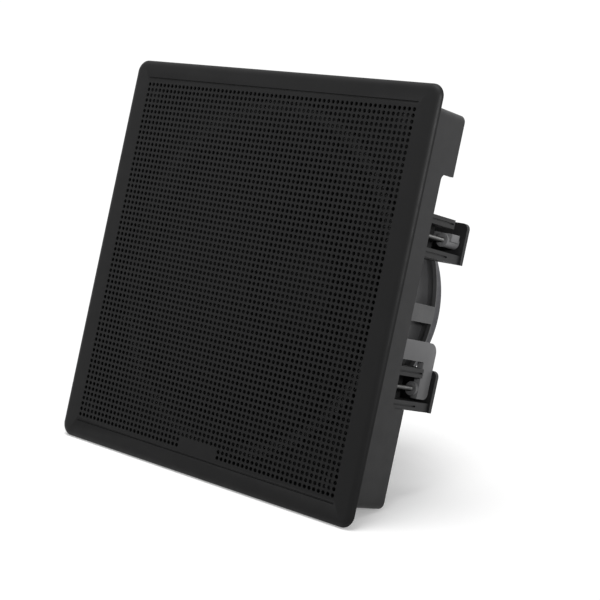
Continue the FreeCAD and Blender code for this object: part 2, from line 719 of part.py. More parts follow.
def make_basket():
    """A cast basket: a flange and throat, tapering spokes, and a back that carries the magnet."""
    body = new_body("basket")
    front = new_sketch(body, "XY_Plane")
    window_front = basket_radius("window_front")
    corners = [
        ("basket_throat - basket_wall", RIM_FRONT),
        ("basket_rim", RIM_FRONT),
        ("basket_rim", RIM_BACK),
        ("basket_throat", RIM_BACK),
        ("basket_throat", "basket_throat_depth"),
        ("basket_waist", "basket_waist_depth"),
        (window_front, "window_front"),
        (f"{window_front} - basket_wall", "window_front"),
        ("basket_waist - basket_wall", "basket_waist_depth"),
        ("basket_throat - basket_wall", "basket_throat_depth - basket_wall / 3"),
    ]
    outline(front, corners)
    revolve(body, front)
    back = new_sketch(body, "XY_Plane")
    window_back = basket_radius("window_back")
    edge_depth = "(basket_back_depth - basket_back_corner)"
    corners = [
        (window_back, "window_back"),
        (basket_radius(edge_depth), edge_depth),
        (f"{basket_radius(edge_depth)} - basket_back_corner", "basket_back_depth"),
        ("throat_radius", "basket_back_depth"),
        ("throat_radius", "basket_back_depth - basket_wall"),
        ("ledge_inner", "basket_back_depth - basket_wall"),
        ("ledge_inner", "ledge_depth"),
        ("ledge_radius", "ledge_depth"),
        ("ledge_radius", "basket_back_depth - basket_wall"),
        (f"{window_back} - basket_wall", "basket_back_depth - basket_wall"),
        (f"{window_back} - basket_wall", "window_back"),
    ]
    outline(back, corners)
    revolve(body, back)
    spoke = new_sketch(body, "XY_Plane")
    outer_front = basket_radius(f"(window_front - {LAP})")
    outer_back = basket_radius(f"(window_back + {LAP})")
    corners = [
        (outer_front, f"window_front - {LAP}"),
        (outer_back, f"window_back + {LAP}"),
        (f"{outer_back} - basket_wall", f"window_back + {LAP}"),
        (f"{outer_front} - basket_wall", f"window_front - {LAP}"),
    ]
    outline(spoke, corners)
    strut = revolve(body, spoke, "spoke_angle")
    polar(body, strut, "spoke_count")
    drilled(body, RIM_FRONT, "basket_rim_depth")
    # A flat pad on the left spoke for the terminal board
    seat = new_sketch(body, "YZ_Plane", f"-{PAD_X}")
    rectangle(seat, "pad_front", "pad_front + pad_length", "-pad_height / 2", "pad_height / 2")
    pad(body, seat, "pad_rise + basket_wall + pad_root")
    # Drain slots round the lower half of the rear ring
    slot = new_sketch(body, "XZ_Plane", f"-{edge_depth}")
    radius = basket_radius("basket_back_depth")
    half = "(drain_width / 2)"
    rectangle(slot, f"{radius} - drain_depth", f"{radius} + {CUT_OVER}", f"-{half}", half)
    cut = pocket(body, slot, f"basket_back_corner + {CUT_OVER}")
    polar(body, cut, "drain_count", "drain_span")
    return body


def make_surround():
    """A half roll with a foot on the basket and a foot on the cone."""
    roll = "((surround_outer - surround_inner) / 2)"
    inside = f"({roll} - surround_thickness)"
    corners = [
        ("surround_inner - surround_foot", f"{RIM_FRONT} - surround_thickness"),
        ("surround_inner", f"{RIM_FRONT} - surround_thickness"),
        ("surround_outer", f"{RIM_FRONT} - surround_thickness"),
        ("surround_outer + surround_foot", f"{RIM_FRONT} - surround_thickness"),
        ("surround_outer + surround_foot", RIM_FRONT),
        ("surround_outer - surround_thickness", RIM_FRONT),
        ("surround_outer - surround_thickness", f"{RIM_FRONT} - surround_thickness"),
        ("surround_inner + surround_thickness", f"{RIM_FRONT} - surround_thickness"),
        ("surround_inner + surround_thickness", RIM_FRONT),
        ("surround_inner - surround_foot", RIM_FRONT),
    ]
    bends = {1: (f"({roll} + {ARC_SLACK})", -1), 6: (f"({inside} + {ARC_SLACK})", 1)}
    return turned("surround", corners, bends)


def make_cone():
    """A straight cone with a glued lip under the surround and a short neck on the former."""
    lip_inner = "(surround_inner - surround_foot)"
    lip_outer = "(surround_inner + surround_thickness / 2)"
    neck_inner = f"({FORMER_OUTER} + seat_gap)"
    corners = [
        (lip_inner, RIM_FRONT),
        (lip_outer, RIM_FRONT),
        (lip_outer, f"{RIM_FRONT} + cone_thickness"),
        (f"{lip_inner} + cone_thickness / 2", f"{RIM_FRONT} + cone_thickness"),
        ("cone_neck", "cone_depth + cone_thickness"),
        ("cone_neck", "cone_depth + neck_length"),
        (neck_inner, "cone_depth + neck_length"),
        (neck_inner, "cone_depth"),
    ]
    return turned("cone", corners)


def cone_front(radius):
    """Depth of the cone's front face at a radius."""
    neck = f"({FORMER_OUTER} + seat_gap)"
    share = f"(({radius} - {neck}) / (surround_inner - surround_foot - {neck}))"
    return f"(cone_depth - {share} * (cone_depth - {RIM_FRONT}))"


def make_dust_cap():
    """A shallow dome glued on the cone."""
    seat = f"({cone_front('cap_radius')} - seat_gap)"
    dome = "((cap_radius * cap_radius + cap_rise * cap_rise) / (2 * cap_rise))"
    shell = f"({dome} - cap_thickness)"
    inner_edge = f"sqrt({shell} * {shell} - ({dome} - cap_rise) * ({dome} - cap_rise))"
    corners = [
        ("0", f"{seat} - cap_rise"),
        ("cap_radius", seat),
        (inner_edge, seat),
        ("0", f"{seat} - cap_rise + cap_thickness"),
    ]
    return turned("dust_cap", corners, {0: (dome, -1), 2: (shell, 1)})


def make_spider():
    """A pleated ring between the former and its ledge in the basket."""
    inner = f"({FORMER_OUTER} + seat_gap)"
    face = "(ledge_depth - spider_thickness)"
    pleats = 2 * count("spider_waves")
    pitch = f"((ledge_inner - {inner} - 2 * spider_flat) / {pleats + 1})"
    front = [(inner, face)]
    for i in range(pleats):
        wave = "spider_wave" if i % 2 else "-spider_wave"
        front.append((f"{inner} + spider_flat + {i + 1} * {pitch}", f"{face} + {wave}"))
    front.append(("ledge_inner", face))
    front.append(("ledge_radius", face))
    back = [(across, f"{depth} + spider_thickness") for across, depth in reversed(front)]
    return turned("spider", front + back)


def make_former():
    front = f"({cone_front('former_inner')} - former_lip)"
    return ring("coil_former", "former_inner", FORMER_OUTER, front, "coil_front + coil_length")


def make_yoke():
    """A back plate with a vented pole."""
    pole_front = "basket_back_depth"
    corners = [
        ("vent_radius", pole_front),
        (POLE_RADIUS, pole_front),
        (POLE_RADIUS, FERRITE_BACK),
        ("back_plate_radius", FERRITE_BACK),
        ("back_plate_radius", f"{YOKE_BACK} - back_plate_edge"),
        ("back_plate_radius - back_plate_edge", YOKE_BACK),
        ("vent_radius + back_plate_edge", YOKE_BACK),
        ("vent_radius", f"{YOKE_BACK} - back_plate_edge"),
    ]
    return turned("yoke", corners)


def box(label, low, high):
    """A block between two corners given as formulas."""
    block = doc.addObject("Part::Box", label)
    block.Label = label
    for prop, axis, start, end in zip(("Length", "Width", "Height"), "xyz", low, high):
        bind(block, prop, f"({end}) - ({start})")
        bind(block, f"Placement.Base.{axis}", start)
    return block


def make_terminals():
    board_face = f"-({PAD_X} + board_thickness)"
    board_back = "pad_front + pad_length"
    board = box(
        "terminal_board",
        (board_face, "pad_front", "-board_height / 2"),
        (f"-{PAD_X}", board_back, "board_height / 2"),
    )
    tabs = [board]
    for label, up, width in (
        ("terminal_positive", 1, "tab_width"),
        ("terminal_negative", -1, "narrow_tab_width"),
    ):
        middle = f"{up} * tab_spacing / 2"
        end = f"{board_back} + tab_overhang"
        low = (f"{board_face} - tab_thickness", f"{end} - tab_length", f"{middle} - {width} / 2")
        high = (board_face, end, f"{middle} + {width} / 2")
        tabs.append(box(label, low, high))
    return tabs


def make_clamp_dog(name, side, level, angle):
    """A flag-shaped dog on its barrel, drawn pointing up and then turned about its screw."""
    body = new_body(f"clamp_dog_{name}")
    flag = new_sketch(body, "YZ_Plane", "dog_offset - dog_thickness / 2")
    toe_foot = "(dog_reach - dog_toe_height)"
    corners = [
        (TOE_FRONT, f"{toe_foot} + dog_nose"),
        (f"{TOE_FRONT} + dog_nose", toe_foot),
        (COLUMN_FRONT, toe_foot),
        (COLUMN_FRONT, "-dog_foot"),
        (f"{DOG_BACK} - dog_heel", "-dog_foot"),
        (DOG_BACK, "dog_heel - dog_foot"),
        (DOG_BACK, "dog_reach - dog_corner"),
        (f"{DOG_BACK} - dog_corner", "dog_reach"),
        (f"{TOE_FRONT} + dog_nose", "dog_reach"),
        (TOE_FRONT, "dog_reach - dog_nose"),
    ]
    bends = {0: ("dog_nose", -1), 4: ("dog_heel", -1), 6: ("dog_corner", -1), 8: ("dog_nose", -1)}
    outline(flag, corners, bends)
    pad(body, flag, "dog_thickness")
    barrel = new_sketch(body, "XZ_Plane", f"-{DOG_BACK}")
    circle(barrel, "0", "0", "barrel_radius")
    length = "dog_column_depth + barrel_lead"
    pad(body, barrel, length)
    bore = new_sketch(body, "XZ_Plane", f"{CUT_OVER} + {length} - {DOG_BACK}")
    circle(bore, "0", "0", "clamp_screw_radius + seat_gap")
    pocket(body, bore, f"{length} + 2 * {CUT_OVER}")
    place_clamp(body, side, level)
    body.Placement.Rotation = FreeCAD.Rotation(FreeCAD.Vector(0, 1, 0), angle)
    return body


def place_clamp(body, side, level):
    across, up = clamp_axis(side, level)
    bind(body, "Placement.Base.x", across)
    bind(body, "Placement.Base.z", up)


def make_clamp_screw(name, side, level):
    """A pan-head screw with a cross recess."""
    tail = f"({END_PLATE_BACK} + clamp_tail)"
    head_front = "(baffle_front - clamp_head_height - seat_gap)"
    corners = [
        ("0", head_front),
        ("clamp_head_radius - head_chamfer", head_front),
        ("clamp_head_radius", f"{head_front} + head_chamfer"),
        ("clamp_head_radius", "baffle_front - seat_gap"),
        ("clamp_screw_radius", "baffle_front - seat_gap"),
        ("clamp_screw_radius", f"{tail} - tip_chamfer"),
        ("clamp_screw_radius - tip_chamfer", tail),
        ("0", tail),
    ]
    body = turned(f"clamp_screw_{name}", corners)
    recess = new_sketch(body, "XZ_Plane", f"-{head_front}")
    wide = "(recess_width / 2)"
    long = "(recess_length / 2)"
    corners = [
        (f"-{wide}", f"-{long}"),
        (wide, f"-{long}"),
        (wide, f"-{wide}"),
        (long, f"-{wide}"),
        (long, wide),
        (wide, wide),
        (wide, long),
        (f"-{wide}", long),
        (f"-{wide}", wide),
        (f"-{long}", wide),
        (f"-{long}", f"-{wide}"),
        (f"-{wide}", f"-{wide}"),
    ]
    outline(recess, corners)
    pocket(body, recess, "recess_depth")
    place_clamp(body, side, level)
    return body


def make_clamp_clip(name, side, level):
    """A push-on clip that keeps the screw in its end plate."""
    front = f"{END_PLATE_BACK} + seat_gap"
    body = ring(
        f"clamp_clip_{name}",
        "clamp_screw_radius + seat_gap",
        "clip_radius",
        front,
        f"{front} + clip_thickness",
    )
    place_clamp(body, side, level)
    return body


# Parked dogs point inwards. The lower right one is swung half way out.
DOG_ANGLES = {"upper_right": -90, "lower_right": 0, "upper_left": 90, "lower_left": 90}


def make_clamps():
    pieces = []
    for name, side, level in clamp_places():
        pieces.append(make_clamp_dog(name, side, level, DOG_ANGLES[name]))
        pieces.append(make_clamp_screw(name, side, level))
        pieces.append(make_clamp_clip(name, side, level))
    return pieces


def make_all():
    parts = [make_housing(), make_seal(), make_grille(), make_grille_magnets()]
    parts += [make_driver_gasket(), make_basket(), make_driver_screws()]
    parts += [make_surround(), make_cone(), make_dust_cap(), make_spider(), make_former()]
    coil_back = "coil_front + coil_length"
    parts.append(ring("voice_coil", f"{FORMER_OUTER} + seat_gap / 2", COIL_OUTER, "coil_front", coil_back))
    plate_bore = f"{COIL_OUTER} + coil_gap"
    parts.append(ring("top_plate", plate_bore, "top_plate_radius", "basket_back_depth", TOP_PLATE_BACK))
    parts.append(ring("magnet", "ferrite_bore", "ferrite_radius", TOP_PLATE_BACK, FERRITE_BACK))
    parts.append(make_yoke())
    parts += make_terminals()
    parts += make_clamps()
    return parts


def check(parts):
    doc.recompute()
    for thing in doc.Objects:
        if "Invalid" in thing.State or "Error" in thing.State:
            raise ValueError(f"{thing.Label} failed: {thing.State}")
    for part in parts:
        if part.Shape.isNull() or not part.Shape.isValid():
            raise ValueError(f"{part.Label} has no valid shape")


def write(parts):
    os.makedirs("parts", exist_ok=True)
    for part in parts:
        part.Shape.exportStep(f"parts/{part.Label}.step")


pieces = make_all()
check(pieces)
write(pieces)
for piece in pieces:
    print(piece.Label, len(piece.Shape.Solids), round(piece.Shape.Volume, 1))
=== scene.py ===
import math

import bmesh
import bpy
from bpy.props import FloatProperty, FloatVectorProperty, IntProperty, PointerProperty
from mathutils import Euler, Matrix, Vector
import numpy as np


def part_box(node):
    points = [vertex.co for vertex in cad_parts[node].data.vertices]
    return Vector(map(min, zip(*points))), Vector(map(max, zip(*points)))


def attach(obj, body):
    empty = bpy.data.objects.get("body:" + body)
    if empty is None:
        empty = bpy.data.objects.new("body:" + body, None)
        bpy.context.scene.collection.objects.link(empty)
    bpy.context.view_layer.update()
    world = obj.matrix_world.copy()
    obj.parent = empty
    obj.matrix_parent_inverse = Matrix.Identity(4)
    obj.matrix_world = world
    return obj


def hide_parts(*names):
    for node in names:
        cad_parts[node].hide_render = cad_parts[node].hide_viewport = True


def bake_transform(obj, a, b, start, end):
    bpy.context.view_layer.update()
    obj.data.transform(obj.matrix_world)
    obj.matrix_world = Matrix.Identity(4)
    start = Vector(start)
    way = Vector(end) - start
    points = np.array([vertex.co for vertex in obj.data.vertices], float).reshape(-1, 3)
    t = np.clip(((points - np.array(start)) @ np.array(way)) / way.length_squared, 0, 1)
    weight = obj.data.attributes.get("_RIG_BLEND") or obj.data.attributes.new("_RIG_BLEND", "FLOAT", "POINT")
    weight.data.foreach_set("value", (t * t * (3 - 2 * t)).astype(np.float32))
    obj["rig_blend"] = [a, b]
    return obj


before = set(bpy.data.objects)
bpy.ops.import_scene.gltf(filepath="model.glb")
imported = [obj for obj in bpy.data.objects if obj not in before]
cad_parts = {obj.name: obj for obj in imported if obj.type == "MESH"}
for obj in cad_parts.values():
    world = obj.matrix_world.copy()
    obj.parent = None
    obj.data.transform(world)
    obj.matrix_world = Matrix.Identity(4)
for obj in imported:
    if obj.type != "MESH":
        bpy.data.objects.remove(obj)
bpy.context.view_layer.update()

bl_info = {
    "name": "Flush-mount subwoofer",
    "version": (1, 0, 0),
    "blender": (4, 5, 0),
    "location": "View3D > Sidebar > Subwoofer",
    "description": "Dresses a square flush-mount subwoofer and sets its studio",
    "category": "Object",
}

GRILLE_LOW, GRILLE_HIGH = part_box("grille")
SURROUND_LOW, SURROUND_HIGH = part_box("surround")
SPIDER_LOW, SPIDER_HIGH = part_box("spider")
FORMER_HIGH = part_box("coil_former")[1]
CLAMPS = ("upper_right", "lower_right", "upper_left", "lower_left")

# How finely round shapes are divided
HOLE_CORNERS = 8
EDGE_STEPS = 7
CORNER_STEPS = 12
ROLL_POINTS = 32
PLEAT_POINTS = 24
SPIN_STEPS = 128
BEVEL_STEPS = 2
THREAD_STEPS = 14

# Points closer than this are one point, and a coordinate this small is zero
MERGE = 0.00001
ZERO = 0.000001
# How far a point of a screw's shank may lie off its place
SHANK_SLACK = 0.00002

# Angles in degrees: faces that count as one flat face, edges that are bevelled, edges that stay sharp
FLAT_ANGLE = 0.5
BEVEL_ANGLE = 40
SHARP_ANGLE = 35
ROLL_SHARP_ANGLE = 50
PLEAT_SHARP_ANGLE = 60

# A pressed line's ends slope over so many depths, and its floor keeps this share of its width
LINE_END_SLOPE = 3
LINE_FLOOR = 0.3
# The pleats fade in and out over one part in so many of their width
PLEAT_FADE = 6
# A patch of wear is so many times finer than a blotch of colour
WEAR_FINENESS = 3.7

# The tub's lower rear edge, on which the part leans: its depth, and its drop below the middle
LEAN_EDGE_DEPTH = 0.042
LEAN_EDGE_DROP = 0.1307
FLOOR_GAP = 0.0002
SENSOR_WIDTH = 36


class GrilleSettings(bpy.types.PropertyGroup):
    hole_pitch: FloatProperty(
        name="Hole pitch", description="Spacing of the perforation", default=0.004, unit="LENGTH"
    )
    hole_diameter: FloatProperty(
        name="Hole diameter", description="Diameter of one hole", default=0.0029, unit="LENGTH"
    )
    holes_across: IntProperty(
        name="Holes across", description="Rows and columns of holes", default=63
    )
    bare_rows: IntProperty(
        name="Bare rows", description="Rows without holes at the foot's middle", default=2
    )
    bare_columns: IntProperty(
        name="Bare columns", description="Columns without holes at the foot's middle", default=9
    )
    sheet: FloatProperty(
        name="Sheet", description="Thickness of the sheet", default=0.0012, unit="LENGTH"
    )
    corner: FloatProperty(
        name="Corner", description="Corner radius of the face", default=0.009, unit="LENGTH"
    )
    edge_width: FloatProperty(
        name="Edge width", description="Rounded edge's width on the face", default=0.005, unit="LENGTH"
    )
    edge_depth: FloatProperty(
        name="Edge depth", description="Rounded edge's depth on the rim", default=0.0034, unit="LENGTH"
    )
    line_width: FloatProperty(
        name="Line width", description="Width of the pressed lines", default=0.0018, unit="LENGTH"
    )
    line_depth: FloatProperty(
        name="Line depth", description="Depth of the pressed lines", default=0.0007, unit="LENGTH"
    )
    line_height: FloatProperty(
        name="Line height",
        description="Pressed lines' distance from the middle",
        default=0.1288,
        unit="LENGTH",
    )
    line_length: FloatProperty(
        name="Line length", description="Length of the pressed lines", default=0.2552, unit="LENGTH"
    )


class DriverSettings(bpy.types.PropertyGroup):
    roll_foot: FloatProperty(
        name="Roll foot", description="Width of the surround's feet", default=0.0032, unit="LENGTH"
    )
    roll_sheet: FloatProperty(
        name="Roll sheet", description="Thickness of the surround", default=0.0012, unit="LENGTH"
    )
    spider_sheet: FloatProperty(
        name="Spider sheet", description="Thickness of the spider", default=0.0009, unit="LENGTH"
    )
    spider_waves: IntProperty(
        name="Spider waves", description="Waves between the former and the rim", default=4
    )
    spider_rim: FloatProperty(
        name="Spider rim", description="Width of the spider's flat rim", default=0.008, unit="LENGTH"
    )
    spider_gap: FloatProperty(
        name="Spider gap",
        description="Gap between the spider and the former",
        default=0.0001,
        unit="LENGTH",
    )
    edge_bevel: FloatProperty(
        name="Edge bevel", description="Rounding of moulded edges", default=0.0005, unit="LENGTH"
    )
    screw_radius: FloatProperty(
        name="Screw radius", description="Outer radius of a clamp screw", default=0.00175, unit="LENGTH"
    )
    screw_head: FloatProperty(
        name="Screw head", description="Height of a clamp screw's head", default=0.003, unit="LENGTH"
    )
    screw_tip: FloatProperty(
        name="Screw tip", description="Length of a clamp screw's plain tip", default=0.0008, unit="LENGTH"
    )
    thread_pitch: FloatProperty(
        name="Thread pitch", description="Pitch of a clamp screw's thread", default=0.0007, unit="LENGTH"
    )
    thread_height: FloatProperty(
        name="Thread height", description="Height of a clamp screw's thread", default=0.0003, unit="LENGTH"
    )


class FinishSettings(bpy.types.PropertyGroup):
    grille: FloatVectorProperty(
        name="Grille", description="Powder coat", default=(0.0072, 0.0072, 0.0074), subtype="COLOR"
    )
    housing: FloatVectorProperty(
        name="Housing", description="Moulded plastic", default=(0.0135, 0.0135, 0.014), subtype="COLOR"
    )
    dog: FloatVectorProperty(
        name="Clamp dogs", description="Moulded plastic", default=(0.142, 0.142, 0.145), subtype="COLOR"
    )
    basket: FloatVectorProperty(
        name="Basket", description="Coated casting", default=(0.047, 0.047, 0.0483), subtype="COLOR"
    )
    rubber: FloatVectorProperty(
        name="Rubber",
        description="Seal, gasket and surround",
        default=(0.008, 0.008, 0.008),
        subtype="COLOR",
    )
    cone: FloatVectorProperty(
        name="Cone", description="Cone and dust cap", default=(0.005, 0.005, 0.005), subtype="COLOR"
    )
    cone_back: FloatVectorProperty(
        name="Cone back",
        description="Uncoated side of the cone",
        default=(0.42, 0.42, 0.42),
        subtype="COLOR",
    )
    cloth: FloatVectorProperty(
        name="Spider", description="Pressed cloth", default=(0.13, 0.1, 0.065), subtype="COLOR"
    )
    steel: FloatVectorProperty(
        name="Steel", description="Plated screws and clips", default=(0.09, 0.09, 0.0892), subtype="COLOR"
    )
    motor: FloatVectorProperty(
        name="Motor plates", description="Coated steel", default=(0.022, 0.022, 0.024), subtype="COLOR"
    )
    ferrite: FloatVectorProperty(
        name="Magnet", description="Sealed ferrite", default=(0.045, 0.045, 0.05), subtype="COLOR"
    )
    foil: FloatVectorProperty(
        name="Coil former", description="Plain foil", default=(0.5, 0.5, 0.5), subtype="COLOR"
    )
    wire: FloatVectorProperty(
        name="Voice coil", description="Enamelled wire", default=(0.5, 0.2, 0.1), subtype="COLOR"
    )
    board: FloatVectorProperty(
        name="Terminal board", description="Moulded plastic", default=(0.03, 0.03, 0.03), subtype="COLOR"
    )
    tab: FloatVectorProperty(
        name="Terminal tabs", description="Tinned metal", default=(0.62, 0.6, 0.55), subtype="COLOR"
    )


class StageSettings(bpy.types.PropertyGroup):
    camera_place: FloatVectorProperty(
        name="Camera place",
        description="Where the camera stands",
        default=(0.717, -0.7481, -0.0046),
        subtype="XYZ",
    )
    camera_turn: FloatVectorProperty(
        name="Camera turn",
        description="Turn of the camera",
        default=(math.radians(89.787), math.radians(-11.959), math.radians(41.33)),
        subtype="EULER",
    )
    lens: FloatProperty(name="Lens", description="Focal length in millimetres", default=90.76)
    floor_size: FloatProperty(
        name="Floor size", description="Width of the floor", default=2.4, unit="LENGTH"
    )
    floor_white: FloatProperty(
        name="Floor white", description="Grey level of the floor to the camera and to gloss", default=0.94
    )
    floor_lift: FloatProperty(
        name="Floor lift", description="Glow of the floor to the camera and to gloss", default=0.27
    )
    floor_bounce: FloatProperty(
        name="Floor bounce", description="Grey level of the floor to scattered light", default=0.25
    )
    fade_start: FloatProperty(
        name="Fade start", description="Where the floor starts to fade out", default=0.13, unit="LENGTH"
    )
    fade_end: FloatProperty(
        name="Fade end", description="Where the floor is gone", default=0.32, unit="LENGTH"
    )
    backdrop: FloatProperty(
        name="Backdrop", description="Strength of the white that the camera and gloss see", default=1.05
    )
    sky: FloatProperty(name="Sky", description="Strength of the room's light", default=0.3)
    key_power: FloatProperty(
        name="Key power", description="Power of the key light", default=35.0, unit="POWER"
    )
    key_place: FloatVectorProperty(
        name="Key place",
        description="Where the key light hangs",
        default=(-0.1, -0.75, 2.05),
        subtype="XYZ",
    )
    key_aim: FloatVectorProperty(
        name="Key aim", description="Where the key light points", default=(0, 0.02, 0), subtype="XYZ"
    )
    key_size: FloatVectorProperty(
        name="Key size", description="Width and height of the key light", default=(1.3, 1.3), size=2
    )
    key_spread: FloatProperty(
        name="Key spread",
        description="Width of the key light's beam",
        default=math.radians(180),
        subtype="ANGLE",
    )
    side_power: FloatProperty(
        name="Side power", description="Power of the side light", default=5.2, unit="POWER"
    )
    side_place: FloatVectorProperty(
        name="Side place",
        description="Where the side light stands",
        default=(1.15, -0.5, 0.3),
        subtype="XYZ",
    )
    side_aim: FloatVectorProperty(
        name="Side aim",
        description="Where the side light points, above the part so that the wall's foot stays darker",
        default=(0.12, 0.02, 0.34),
        subtype="XYZ",
    )
    side_size: FloatVectorProperty(
        name="Side size", description="Width and height of the side light", default=(1.7, 0.25), size=2
    )
    side_spread: FloatProperty(
        name="Side spread",
        description="Width of the side light's beam",
        default=math.radians(50),
        subtype="ANGLE",
    )


# Object helpers


def deselect():
    bpy.ops.object.select_all(action="DESELECT")


def name_new(name):
    """Names the object that was just added."""
    piece = bpy.context.object
    piece.name = name
    piece.data.name = name
    return piece


def make_active(piece):
    deselect()
    piece.select_set(True)
    bpy.context.view_layer.objects.active = piece


def edit(piece):
    make_active(piece)
    bpy.ops.object.mode_set(mode="EDIT")


def leave_edit():
    bpy.ops.object.mode_set(mode="OBJECT")


def settle(piece):
    """Puts the piece's place into its mesh."""
    make_active(piece)
    bpy.ops.object.transform_apply(location=True, rotation=True, scale=True)


def pick(kind, test):
    """Selects the mesh elements of one kind that pass a test."""
    bpy.ops.mesh.select_mode(type=kind)
    bpy.ops.mesh.select_all(action="DESELECT")
    mesh = bpy.context.object.data
    shape = bmesh.from_edit_mesh(mesh)
    elements = {"VERT": shape.verts, "EDGE": shape.edges, "FACE": shape.faces}[kind]
    for element in elements:
        if test(element):
            element.select_set(True)
    shape.select_flush_mode()
    bmesh.update_edit_mesh(mesh)


def merge_and_face_out():
    bpy.ops.mesh.select_all(action="SELECT")
    bpy.ops.mesh.remove_doubles(threshold=MERGE)
    bpy.ops.mesh.normals_make_consistent(inside=False)


def modify(piece, kind, **options):
    """Adds a modifier, sets it and applies it."""
    make_active(piece)
    modifier = piece.modifiers.new(kind.lower(), kind)
    for option, value in options.items():
        setattr(modifier, option, value)
    bpy.ops.object.modifier_apply(modifier=modifier.name)


def smooth(piece, angle=SHARP_ANGLE):
    make_active(piece)
    bpy.ops.object.shade_smooth_by_angle(angle=math.radians(angle))


def join(target, others):
    deselect()
    for other in others:
        other.select_set(True)
    target.select_set(True)
    bpy.context.view_layer.objects.active = target
    bpy.ops.object.join()
    return target


def copy_of_node(node, name):
    """A piece of its own with a CAD node's shape, merged and with whole flat faces."""
    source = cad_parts[node]
    piece = bpy.data.objects.new(name, source.data.copy())
    piece.data.name = name
    bpy.context.scene.collection.objects.link(piece)
    edit(piece)
    bpy.ops.mesh.select_all(action="SELECT")
    bpy.ops.mesh.remove_doubles(threshold=MERGE)
    bpy.ops.mesh.dissolve_limited(angle_limit=math.radians(FLAT_ANGLE))
    leave_edit()
    return piece


# Grille


def perforated_field(settings, front):
    """One holed cell, repeated over the whole field, with the foot's middle filled in."""
    radius = settings.hole_diameter / 2
    half_cell = settings.hole_pitch / 2
    start = -(settings.holes_across - 1) / 2 * settings.hole_pitch
    centre = (start, front, start)
    deselect()
    bpy.ops.mesh.primitive_circle_add(
        vertices=HOLE_CORNERS, radius=radius, location=centre, rotation=(math.radians(90), 0, 0)
    )
    cell = name_new("perforated_face")
    bpy.ops.object.transform_apply(location=False, rotation=True, scale=True)
    edit(cell)
    bpy.ops.mesh.select_all(action="SELECT")
    bpy.ops.mesh.extrude_edges_move()
    bpy.ops.transform.resize(value=(half_cell / radius,) * 3, center_override=centre)

    def on_cell_corner(vertex):
        outside = vertex.co.length > (radius + half_cell) / 2
        return outside and abs(vertex.co.x) > ZERO and abs(vertex.co.z) > ZERO

    pick("VERT", on_cell_corner)
    bpy.ops.transform.resize(value=(math.sqrt(2),) * 3, center_override=centre)
    leave_edit()
    settle(cell)
    for direction in ((settings.hole_pitch, 0, 0), (0, 0, settings.hole_pitch)):
        modify(
            cell,
            "ARRAY",
            count=settings.holes_across,
            use_relative_offset=False,
            use_constant_offset=True,
            constant_offset_displace=direction,
            use_merge_vertices=True,
            merge_threshold=MERGE,
        )
    reach = settings.bare_columns * half_cell
    foot = start - half_cell
    top = foot + settings.bare_rows * settings.hole_pitch

    def on_bare_rim(vertex):
        inside = abs(vertex.co.x) < reach and foot + MERGE < vertex.co.z < top
        return inside and vertex.is_boundary

    edit(cell)
    pick("VERT", on_bare_rim)
    bpy.ops.mesh.fill_holes(sides=HOLE_CORNERS)
    merge_and_face_out()
    pick("FACE", lambda f: f.normal.y > 0)
    bpy.ops.mesh.flip_normals()
    leave_edit()
    return cell


def face_border(settings, front):
    """The plain border with its rounded edge and rim."""
    width = GRILLE_HIGH.x - GRILLE_LOW.x
    field = settings.holes_across * settings.hole_pitch
    brow = front + settings.edge_depth
    turn = (math.radians(90), 0, 0)
    deselect()
    bpy.ops.mesh.primitive_plane_add(size=width, location=(0, brow, 0), rotation=turn)
    border = name_new("face_border")
    settle(border)
    edit(border)
    bpy.ops.mesh.select_all(action="SELECT")
    bpy.ops.mesh.bevel(
        offset=settings.corner, offset_type="OFFSET", segments=CORNER_STEPS, affect="VERTICES"
    )
    pick("EDGE", lambda e: e.is_boundary)
    bpy.ops.mesh.extrude_edges_move(TRANSFORM_OT_translate={"value": (0, GRILLE_HIGH.y - brow, 0)})
    pick("FACE", lambda f: len(f.verts) > 4)
    inset = 0
    rise = 0
    for step in range(1, EDGE_STEPS + 1):
        turned = math.radians(90) * step / EDGE_STEPS
        new_inset = settings.edge_width * (1 - math.cos(turned))
        new_rise = settings.edge_depth * math.sin(turned)
        bpy.ops.mesh.inset(thickness=new_inset - inset, depth=new_rise - rise)
        inset = new_inset
        rise = new_rise
    bpy.ops.mesh.delete(type="ONLY_FACE")
    bpy.ops.mesh.primitive_plane_add(size=field, location=(0, front, 0), rotation=turn)
    bpy.ops.mesh.delete(type="ONLY_FACE")

    def open_at_front(line):
        return len(line.link_faces) < 2 and all(abs(v.co.y - front) < MERGE for v in line.verts)

    pick("EDGE", open_at_front)
    bpy.ops.mesh.bridge_edge_loops()
    merge_and_face_out()
    leave_edit()
    if border.data.polygons[0].normal.y > 0:
        edit(border)
        bpy.ops.mesh.select_all(action="SELECT")
        bpy.ops.mesh.flip_normals()
        leave_edit()
    return border


def press_lines(border, settings, front):
    """Sinks the two lines into the border."""
    ends = 1 - 2 * LINE_END_SLOPE * settings.line_depth / settings.line_length
    for side in (1, -1):
        middle = (0, front, side * settings.line_height)
        deselect()
        bpy.ops.mesh.primitive_cube_add(size=1, location=middle)
        cutter = name_new("line_cutter")
        cutter.scale = (settings.line_length, 2 * settings.line_depth, settings.line_width)
        settle(cutter)
        edit(cutter)
        pick("VERT", lambda v: v.co.y > front)
        bpy.ops.transform.resize(value=(ends, 1, LINE_FLOOR), center_override=middle)
        leave_edit()
        modify(border, "BOOLEAN", object=cutter, operation="DIFFERENCE", solver="EXACT")
        bpy.data.objects.remove(cutter)


